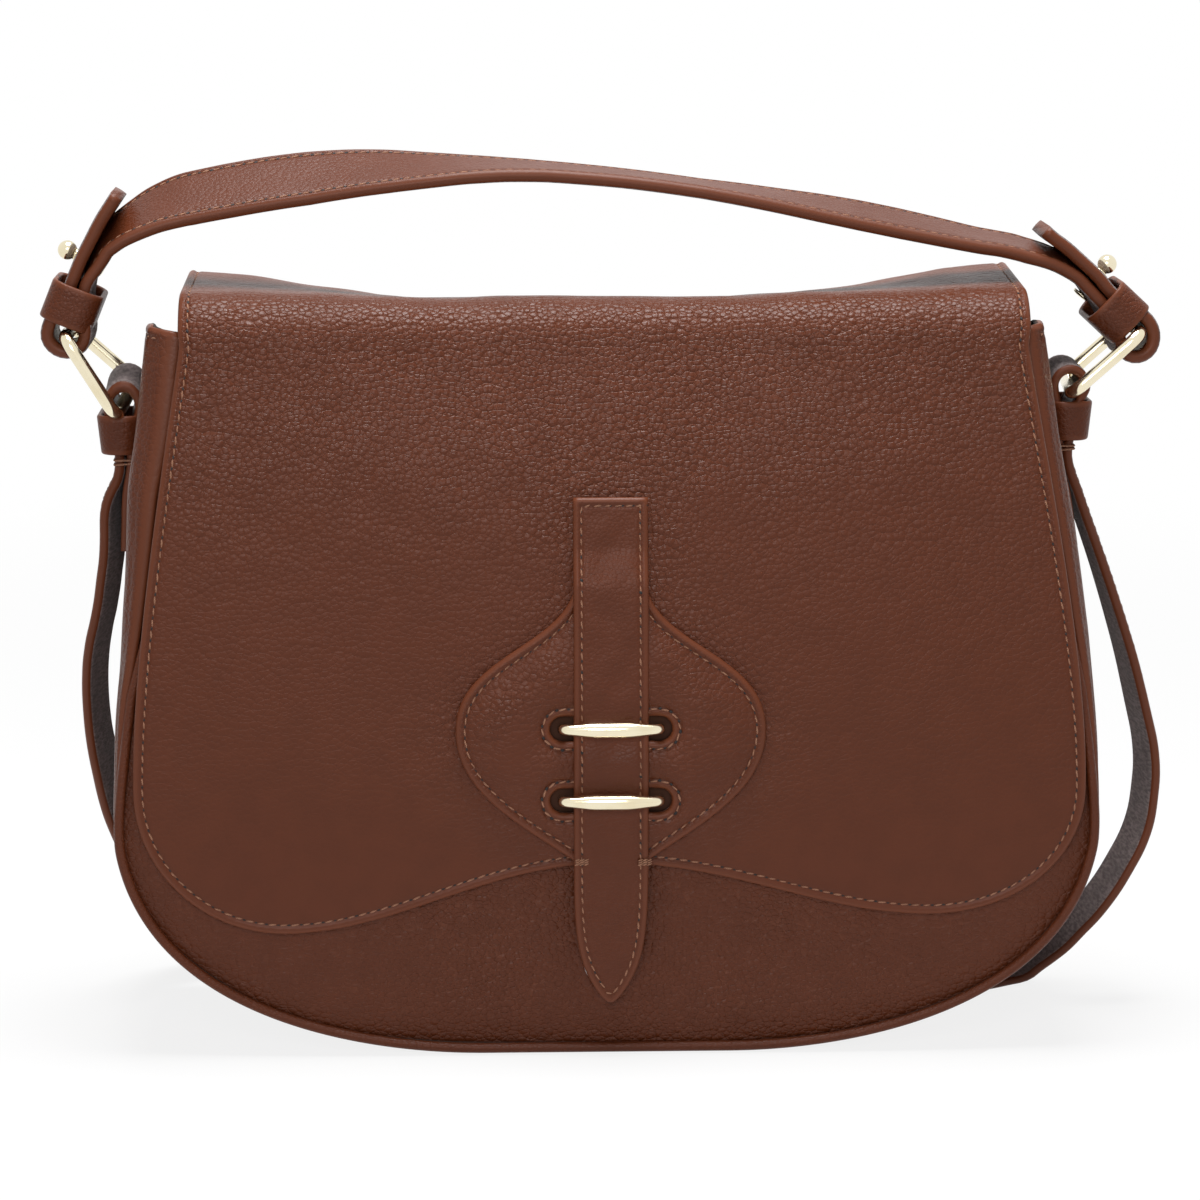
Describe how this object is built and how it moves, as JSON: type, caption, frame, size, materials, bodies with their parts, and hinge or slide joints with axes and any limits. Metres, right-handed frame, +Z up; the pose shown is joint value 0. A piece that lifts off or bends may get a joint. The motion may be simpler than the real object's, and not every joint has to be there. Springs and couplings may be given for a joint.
{
  "type": "satchel bag",
  "caption": "Leather saddle satchel with a curved flap, strap-and-loop closure, ring-hung top handle and flat shoulder strap.",
  "frame": {"origin": "middle of the flat foot, on the surface that the bag stands on", "axes": "+X to the bag's left-to-right width seen from the front, -Y out of the front, +Z up"},
  "size_m": [0.3168, 0.1553, 0.2489],
  "materials": {
    "leather": "pebbled, semi-matt",
    "lining_leather": "smooth, matt",
    "lining": "woven, matt",
    "board": "matt fibreboard",
    "snap_steel": "plain",
    "gold": "polished pale gold plating"
  },
  "bodies": {
    "bag_body": {"front_panel": "leather", "back_panel": "leather", "gusset": "leather", "front_welt": "leather", "back_welt": "leather", "base_board": "board", "lining": "lining", "inner_pocket": "lining", "magnet_socket": "snap_steel", "magnet_backing": "snap_steel", "side_tab_left": "leather", "side_tab_right": "leather", "tab_keeper_left": "leather", "tab_keeper_right": "leather", "flap_rear_shell": "leather", "flap_rear_lining": "lining_leather", "shoulder_strap": "leather"},
    "flap_bridge": {"flap_bridge_shell": "leather", "flap_bridge_lining": "lining_leather"},
    "flap_front": {"flap_front_shell": "leather", "flap_front_lining": "lining_leather", "closure_panel": "leather", "closure_strap": "leather", "loop_upper": "gold", "loop_lower": "gold", "loop_plate": "snap_steel"},
    "tongue": {"tongue_tip": "leather", "magnet_stud": "snap_steel"},
    "ring_left": {"ring_left": "gold"},
    "handle": {"handle_strap": "leather", "handle_lining": "leather", "handle_keeper_left": "leather", "handle_keeper_right": "leather", "stud_ball_left": "gold", "stud_ball_right": "gold", "stud_screw_left": "gold", "stud_screw_right": "gold"},
    "ring_right": {"ring_right": "gold"}
  },
  "joints": [
    {"name": "flap_fold", "type": "hinge", "parent": "bag_body", "child": "flap_bridge", "pos_m": [0, -0.015, 0.21587], "axis": [-1, 0, 0], "range_deg": [0, 95]},
    {"name": "flap_front_lift", "type": "hinge", "parent": "flap_bridge", "child": "flap_front", "pos_m": [0, -0.03443, 0.2014], "axis": [-1, 0, 0], "range_deg": [0, 85]},
    {"name": "tongue_lift", "type": "hinge", "parent": "flap_front", "child": "tongue", "pos_m": [0, -0.04833, 0.0572], "axis": [-1, 0, 0], "range_deg": [0, 60], "stiffness_Nm_per_rad": 0.01},
    {"name": "ring_sway", "type": "hinge", "parent": "bag_body", "child": "ring_left", "pos_m": [-0.1345, 0, 0.1863], "axis": [0, 1, 0], "range_deg": [-12, 12], "stiffness_Nm_per_rad": 0.08},
    {"name": "handle_sway", "type": "hinge", "parent": "ring_left", "child": "handle", "pos_m": [-0.15196, 0, 0.20202], "axis": [0, 1, 0], "range_deg": [-11, 11]},
    {"name": "ring_right_sway", "type": "hinge", "parent": "handle", "child": "ring_right", "pos_m": [0.15196, 0, 0.20202], "axis": [0, 1, 0], "range_deg": [-11, 11]}
  ],
  "couplings": [
    {"joint": "handle_sway", "follows": "ring_sway", "ratio": -0.885},
    {"joint": "ring_right_sway", "follows": "ring_sway", "ratio": 0.885}
  ]
}
